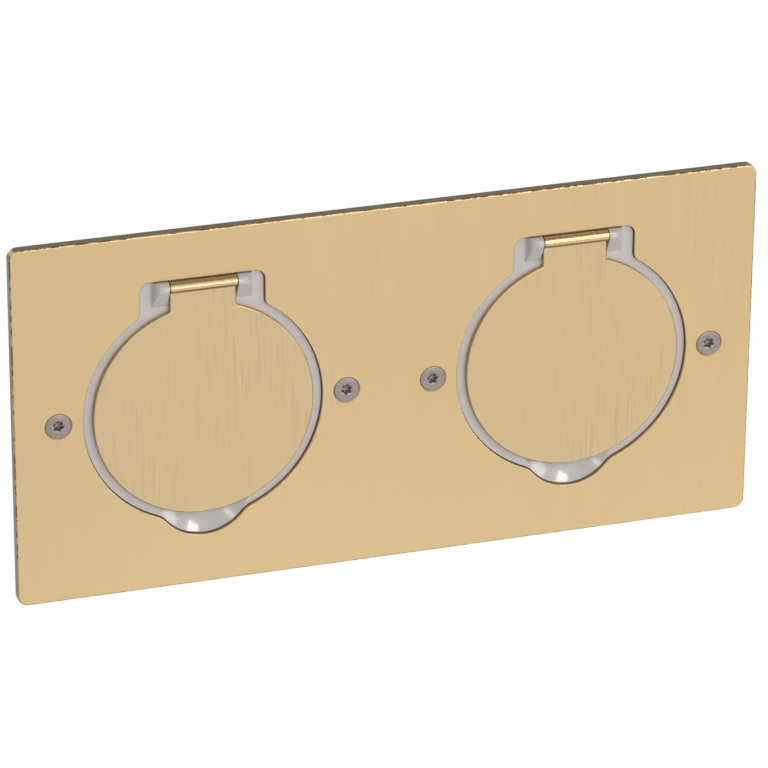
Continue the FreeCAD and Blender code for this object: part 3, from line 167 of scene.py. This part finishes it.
def brushed_brass(name, face, rough, strokes, round_from=None):
    """Satin brass with a faint grain along Y, and darker upright faces: partly the cut metal's own
    duller tone, partly painted shade.

    strokes is how far the darker single strokes show. With no round_from it is the faceplate's,
    whose outer edge wall is painted near black and whose outer rounding gets dark ragged spots:
    painted shade and dark reflection, with the ragged spots standing in part for a rough cut.
    Otherwise the metal above the height round_from is rolled: it is polished all round, with fine
    ragged marks, and the roundings of the other edges take the darker colour, a painted shade.
    """
    paint = Paint(name, Metallic=1.0)
    grain = paint.noise((3300.0, 45.0, 900.0), 3.0)
    hairs = paint.noise((2100.0, 62.0, 400.0), 2.5, offset=3.7)
    bands = paint.noise((420.0, 9.0, 120.0), 2.0, offset=6.1)
    patches = paint.noise((34.0, 21.0, 34.0), 2.0, offset=1.3)
    cloud = paint.noise((11.0, 7.0, 11.0), 1.5, offset=8.2)
    toned = paint.mix(paint.ramp(grain, 0.36, 0.64), scaled(face, 0.975, 0.975, 0.972), face)
    toned = paint.mix(paint.ramp(bands, 0.35, 0.65, 0.0, strokes * 0.3), toned,
                      scaled(face, 0.93, 0.925, 0.91))
    seen = paint.maths("MULTIPLY", paint.ramp(hairs, 0.54, 0.68),
                       paint.ramp(patches, 0.42, 0.62, 0.12, 1.0))
    toned = paint.mix(paint.maths("MULTIPLY", seen, strokes), toned,
                      scaled(face, 0.80, 0.785, 0.75))
    toned = paint.mix(paint.ramp(cloud, 0.38, 0.62, 0.0, 0.5), toned,
                      scaled(face, 1.015, 0.992, 0.955))
    rough_grain = paint.ramp(grain, 0.3, 0.7, rough - 0.03, rough + 0.03)
    # Upright faces take a darker colour: partly the cut metal's own duller tone, partly painted
    # shade.
    cut_edge_and_shade = scaled(face, 0.85, 0.80, 0.70)
    if round_from is None:
        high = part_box("faceplate")[1]
        rim_start = 0.6 * MM
        rim_full = 0.3 * MM
        outside = paint.maths("MAXIMUM",
                              paint.beyond("X", high.x - rim_start, high.x - rim_full),
                              paint.beyond("Y", high.y - rim_start, high.y - rim_full))
        # Outer rim: the edge wall is painted near black and the rounding gets dark ragged spots.
        # Both are painted shade and dark reflection; the ragged spots stand partly for a rough cut.
        rough_cut_and_shade_spots = paint.noise((420.0, 420.0, 300.0), 3.0, 0.65, offset=5.2)
        cut_edge_and_shade = paint.mix(outside, cut_edge_and_shade, scaled(face, 0.16, 0.14, 0.10))
        bevel_with_painted_shade = paint.mix(paint.maths("MULTIPLY", outside, paint.ramp(rough_cut_and_shade_spots, 0.47, 0.56)), toned,
                          scaled(face, 0.30, 0.27, 0.20))
        paint.colour(paint.mix(paint.facing_up(0.25, 0.6), cut_edge_and_shade,
                               paint.mix(paint.facing_up(0.93, 0.99), bevel_with_painted_shade, toned)))
        paint.roughness(rough_grain)
        paint.bump(grain, 0.004 * MM, 0.25)
        return paint.material
    roll_blend = 0.2 * MM
    rolled = paint.beyond("Z", round_from, round_from + roll_blend)
    marks = paint.noise((2600.0, 3800.0, 3800.0), 4.0, 0.7, offset=4.4)
    # Only nearly level faces keep the brushed tone. The lid's edge roundings also get the darker
    # upright colour, a painted shade that dims their highlight.
    face_share = paint.maths("MAXIMUM", rolled, paint.facing_up(0.86, 0.995))
    toned = paint.mix(rolled, toned, paint.mix(paint.ramp(marks, 0.35, 0.65),
                                               scaled(face, 0.86, 0.80, 0.70), face))
    paint.colour(paint.mix(face_share, cut_edge_and_shade, toned))
    smooth = paint.maths("MULTIPLY", rolled, -0.08)
    paint.roughness(paint.maths("ADD", rough_grain, smooth))
    grain_share = 0.12
    paint.bump(paint.maths("ADD", paint.maths("MULTIPLY", grain, grain_share),
                           paint.maths("MULTIPLY", marks, rolled)), 0.03 * MM, 0.5)
    return paint.material


def moulding(name, colour, shade, rough, grain=1500.0, relief=0.00002, coat=0.0):
    """Moulded plastic: an even colour with faint clouds and a fine texture."""
    paint = Paint(name, Coat_Weight=coat, Coat_Roughness=0.08)
    cloud = paint.noise((60.0, 60.0, 60.0), 3.0)
    fine = paint.noise((grain, grain, grain), 2.0, offset=2.1)
    paint.colour(paint.mix(paint.ramp(cloud, 0.35, 0.65), shade, colour))
    paint.roughness(paint.ramp(fine, 0.3, 0.7, rough - 0.05, rough + 0.05))
    paint.bump(fine, relief, 0.4)
    return paint.material


def rubber(name, colour, shade, grain):
    """Matt rubber or foam with a cellular texture."""
    paint = Paint(name, Sheen_Weight=0.15)
    cells = paint.noise((grain, grain, grain), 4.0, 0.7)
    paint.colour(paint.mix(paint.ramp(cells, 0.4, 0.6), shade, colour))
    paint.roughness(paint.ramp(cells, 0.3, 0.7, 0.7, 0.9))
    paint.bump(cells, 0.00006, 0.8)
    return paint.material


def worked_metal(name, colour, shade, rough, scale, relief=0.00001):
    """Metal with the marks that turning, stamping or drawing leaves, scaled per axis."""
    paint = Paint(name, Metallic=1.0)
    marks = paint.noise(scale, 3.0, 0.6)
    cloud = paint.noise((180.0, 180.0, 180.0), 3.0, offset=5.2)
    toned = paint.mix(paint.ramp(marks, 0.35, 0.65), shade, colour)
    paint.colour(paint.mix(paint.ramp(cloud, 0.45, 0.7, 0.0, 0.5), toned, shade))
    paint.roughness(paint.ramp(marks, 0.3, 0.7, rough - 0.07, rough + 0.07))
    paint.bump(marks, relief, 0.5)
    return paint.material


def make_slot_materials():
    """One material for each slot of the record."""
    grey = (0.540, 0.510, 0.492)
    lid_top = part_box("faceplate")[1].z + 0.3 * MM
    barrel_start = lid_top + 0.3 * MM
    return {
        "plate_brass": brushed_brass("plate_brass", (0.733, 0.545, 0.300), 0.34, 0.12),
        "lid_brass": brushed_brass("lid_brass", (0.690, 0.527, 0.305), 0.36, 0.9,
                                   round_from=barrel_start),
        "frame_moulding": moulding("frame_moulding", (0.560, 0.530, 0.512), grey, 0.20,
                                   grain=2400.0, relief=0.000004, coat=0.7),
        "seal_rubber": rubber("seal_rubber", (0.030, 0.030, 0.032), (0.018, 0.018, 0.019), 2500.0),
        "gasket_foam": rubber("gasket_foam", (0.045, 0.045, 0.048), (0.015, 0.015, 0.016), 1400.0),
        "screw_steel": worked_metal("screw_steel", (0.40, 0.36, 0.34), (0.30, 0.265, 0.25), 0.42,
                                    (1800.0, 1800.0, 1800.0)),
        "pin_steel": worked_metal("pin_steel", (0.56, 0.56, 0.57), (0.42, 0.42, 0.44), 0.25,
                                  (6000.0, 500.0, 500.0)),
        "spring_steel": worked_metal("spring_steel", (0.50, 0.50, 0.53), (0.36, 0.36, 0.40), 0.3,
                                     (900.0, 900.0, 4000.0)),
        "box_moulding": moulding("box_moulding", (0.055, 0.060, 0.066), (0.042, 0.046, 0.052),
                                 0.58, relief=0.00004),
        "support_moulding": moulding("support_moulding", (0.115, 0.118, 0.122),
                                     (0.092, 0.095, 0.100), 0.52, relief=0.00004),
        "case_moulding": moulding("case_moulding", (0.43, 0.43, 0.40), (0.37, 0.37, 0.345), 0.5),
        "socket_white": moulding("socket_white", (0.78, 0.78, 0.755), (0.74, 0.74, 0.715), 0.2,
                                 grain=500.0, relief=0.000006, coat=0.5),
        "shutter_white": moulding("shutter_white", (0.62, 0.62, 0.60), (0.57, 0.57, 0.55), 0.45),
        "contact_metal": worked_metal("contact_metal", (0.72, 0.69, 0.62), (0.58, 0.55, 0.48),
                                      0.22, (700.0, 700.0, 3500.0)),
        "insert_brass": worked_metal("insert_brass", (0.76, 0.58, 0.29), (0.62, 0.45, 0.20), 0.3,
                                     (800.0, 800.0, 6000.0)),
    }


def dress_frame(materials):
    """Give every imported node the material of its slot."""
    for part in frame["record"]["subparts"]:
        mesh = frame["nodes"][part["node"]].data
        mesh.materials.clear()
        mesh.materials.append(materials[part["material_slot"]])


# ---------------------------------------------------------------- pieces

def finish_piece(name, mesh, material, body, location=(0.0, 0.0, 0.0)):
    """Turn a bmesh into an object of the scene that rides on a body."""
    data = bpy.data.meshes.new(name)
    mesh.to_mesh(data)
    mesh.free()
    data.materials.append(material)
    piece = bpy.data.objects.new(name, data)
    piece.location = location
    bpy.context.scene.collection.objects.link(piece)
    for face in data.polygons:
        face.use_smooth = True
    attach(piece, body)
    return piece


def ring_of(mesh, radius_at, height, count):
    """A closed ring of corners whose radius depends on the angle."""
    corners = []
    for step in range(count):
        angle = 2 * math.pi * step / count
        reach = radius_at(angle)
        corners.append(mesh.verts.new((reach * math.cos(angle), reach * math.sin(angle), height)))
    return corners


def skin(mesh, rings, cap_first=True, cap_last=True):
    """Join rings with quads, and close the two ends."""
    for lower, upper in zip(rings, rings[1:]):
        count = len(lower)
        for step in range(count):
            beside = (step + 1) % count
            mesh.faces.new((lower[step], lower[beside], upper[beside], upper[step]))
    if cap_first:
        mesh.faces.new(rings[0][::-1])
    if cap_last:
        mesh.faces.new(rings[-1])


HEAD_CORNERS = 96
LOBES = 6


def plate_screws(materials):
    """Countersunk screws with a six-lobe recess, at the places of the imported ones."""
    low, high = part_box("faceplate_screws")
    head = (high.y - low.y) / 2
    shank = 2.0 * MM
    recess = 1.62 * MM
    lobe = 0.27 * MM
    depth = 1.5 * MM
    edge = 0.18 * MM
    thread_pitch = 0.7 * MM
    root = 0.28 * MM

    def star(size):
        return lambda angle: size - lobe * (1 - math.cos(LOBES * angle)) * size / recess

    def even(size):
        return lambda angle: size

    plate_middle = (low.x + high.x) / 2
    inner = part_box("lid_frame_right")[0].x
    outer = high.x - head
    near = inner + (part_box("lid_frame_right")[1].x - outer)
    for number, place in enumerate((-outer, -near, near, outer), start=1):
        mesh = bmesh.new()
        top = high.z
        floor = top - depth
        rings = [
            ring_of(mesh, star(recess * 0.25), floor - 0.25 * MM, HEAD_CORNERS),
            ring_of(mesh, star(recess * 0.82), floor, HEAD_CORNERS),
            ring_of(mesh, star(recess * 0.95), top - edge, HEAD_CORNERS),
            ring_of(mesh, star(recess * 1.05), top, HEAD_CORNERS),
            ring_of(mesh, even(head * 0.55), top, HEAD_CORNERS),
            ring_of(mesh, even(head - edge * 1.6), top, HEAD_CORNERS),
            ring_of(mesh, even(head - edge * 0.5), top - edge * 0.35, HEAD_CORNERS),
            ring_of(mesh, even(head), top - edge * 1.2, HEAD_CORNERS),
            ring_of(mesh, even(shank), top - (head - shank) - edge, HEAD_CORNERS),
        ]
        height = top - (head - shank) - edge * 2
        while height - thread_pitch > low.z + thread_pitch:
            rings.append(ring_of(mesh, even(shank), height, HEAD_CORNERS))
            rings.append(ring_of(mesh, even(shank - root), height - thread_pitch / 2,
                                 HEAD_CORNERS))
            height -= thread_pitch
        rings.append(ring_of(mesh, even(shank - root), height, HEAD_CORNERS))
        rings.append(ring_of(mesh, even(shank * 0.6), low.z, HEAD_CORNERS))
        skin(mesh, rings[::-1])
        bmesh.ops.recalc_face_normals(mesh, faces=mesh.faces)
        bmesh.ops.rotate(mesh, verts=mesh.verts, matrix=Matrix.Rotation(0.7 * number, 3, "Z"))
        screw = finish_piece("plate_screw_{}".format(number), mesh,
                             materials["screw_steel"], BODY, (plate_middle + place, 0.0, 0.0))
        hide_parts("faceplate_screws")


# ---------------------------------------------------------------- stage, lights and camera

WHITE = (1.0, 1.0, 1.0)


def seen_directly(tree):
    """1 for what the camera sees, straight on or in a mirror or through glass."""
    path = tree.nodes.new("ShaderNodeLightPath")
    first = tree.nodes.new("ShaderNodeMath")
    first.operation = "MAXIMUM"
    second = tree.nodes.new("ShaderNodeMath")
    second.operation = "MAXIMUM"
    tree.links.new(path.outputs["Is Camera Ray"], first.inputs[0])
    tree.links.new(path.outputs["Is Glossy Ray"], first.inputs[1])
    tree.links.new(first.outputs[0], second.inputs[0])
    tree.links.new(path.outputs["Is Transmission Ray"], second.inputs[1])
    return second.outputs[0]


def make_floor():
    """A plain white floor under the box, which keeps a trace of its shadow."""
    size = 6.0
    share_of_white = 0.98
    mesh = bmesh.new()
    bmesh.ops.create_grid(mesh, x_segments=4, y_segments=4, size=size / 2)
    data = bpy.data.meshes.new("floor")
    mesh.to_mesh(data)
    mesh.free()
    floor = bpy.data.objects.new("floor", data)
    floor.location = (0.0, 0.0, cad_box[0][2])
    bpy.context.scene.collection.objects.link(floor)
    material = bpy.data.materials.new("floor_white")
    material.use_nodes = True
    tree = material.node_tree
    shader = tree.nodes["Principled BSDF"]
    shader.inputs["Base Color"].default_value = (0.9, 0.9, 0.9, 1.0)
    shader.inputs["Roughness"].default_value = 0.9
    glow = tree.nodes.new("ShaderNodeEmission")
    glow.inputs["Color"].default_value = (*WHITE, 1.0)
    share = tree.nodes.new("ShaderNodeMath")
    share.operation = "MULTIPLY"
    share.inputs[1].default_value = share_of_white
    tree.links.new(seen_directly(tree), share.inputs[0])
    mix = tree.nodes.new("ShaderNodeMixShader")
    tree.links.new(share.outputs[0], mix.inputs["Fac"])
    tree.links.new(shader.outputs["BSDF"], mix.inputs[1])
    tree.links.new(glow.outputs["Emission"], mix.inputs[2])
    tree.links.new(mix.outputs[0], tree.nodes["Material Output"].inputs["Surface"])
    data.materials.append(material)


def make_world():
    """A white studio, bright overhead and darker towards the horizon."""
    bright = 0.71
    dark = 0.22
    world = bpy.data.worlds.new("studio")
    world.use_nodes = True
    bpy.context.scene.world = world
    tree = world.node_tree
    sky = tree.nodes["Background"]
    sky.inputs["Color"].default_value = (*WHITE, 1.0)
    way = tree.nodes.new("ShaderNodeTexCoord")
    rise = tree.nodes.new("ShaderNodeSeparateXYZ")
    tree.links.new(way.outputs["Generated"], rise.inputs["Vector"])
    around = tree.nodes.new("ShaderNodeMapRange")
    around.interpolation_type = "SMOOTHSTEP"
    around.inputs["From Min"].default_value = 0.15
    around.inputs["From Max"].default_value = 0.70
    around.inputs["To Min"].default_value = dark
    around.inputs["To Max"].default_value = bright
    tree.links.new(rise.outputs["Z"], around.inputs["Value"])
    path = tree.nodes.new("ShaderNodeLightPath")
    level = tree.nodes.new("ShaderNodeMapRange")
    level.inputs["To Max"].default_value = 1.0
    tree.links.new(around.outputs["Result"], level.inputs["To Min"])
    tree.links.new(path.outputs["Is Camera Ray"], level.inputs["Value"])
    tree.links.new(level.outputs["Result"], sky.inputs["Strength"])


def softbox(name, azimuth, elevation, distance, size, power):
    """A rectangular lamp, placed in degrees and metres, that looks at the frame's origin."""
    data = bpy.data.lights.new(name, "AREA")
    data.shape = "RECTANGLE"
    data.size, data.size_y = size
    data.energy = power
    lamp = bpy.data.objects.new(name, data)
    turn = math.radians(azimuth)
    rise = math.radians(elevation)
    way = Vector((math.cos(rise) * math.cos(turn), math.cos(rise) * math.sin(turn),
                  math.sin(rise)))
    lamp.location = way * distance
    lamp.rotation_euler = way.to_track_quat("Z", "Y").to_euler()
    bpy.context.scene.collection.objects.link(lamp)


def make_lights():
    softbox("key", 48.0, 46.0, 1.5, (0.38, 0.32), 3.4)
    softbox("overhead", 20.0, 76.0, 1.5, (0.5, 0.5), 2.6)
    softbox("side", 5.0, 28.0, 1.5, (0.6, 0.5), 3.0)
    softbox("front", -72.0, 50.0, 1.5, (0.3, 0.4), 0.4)
    softbox("sheen", -48.0, 38.0, 1.8, (0.5, 0.5), 1.2)
    softbox("left_fill", 140.0, 56.0, 1.6, (0.18, 0.5), 1.3)


def make_camera():
    """A long lens at the photograph's angle: above the hinges' side and to the left."""
    data = bpy.data.cameras.new("camera")
    data.lens = 230.0
    data.sensor_width = 36.0
    data.clip_end = 20.0
    camera = bpy.data.objects.new("camera", data)
    right = Vector((0.95194, 0.00627, 0.30623))
    up = Vector((0.12226, 0.90890, -0.39868))
    back = Vector((-0.28084, 0.41696, 0.86445))
    view = Matrix((right, up, back)).transposed().to_4x4()
    view.translation = Vector((-0.3970, 0.5871, 1.2204))
    camera.matrix_world = view
    bpy.context.scene.collection.objects.link(camera)
    bpy.context.scene.camera = camera


# ---------------------------------------------------------------- the whole scene

slot_materials = make_slot_materials()
dress_frame(slot_materials)
plate_screws(slot_materials)
make_floor()
make_world()
make_lights()
make_camera()
bpy.context.scene.view_settings.view_transform = "Standard"
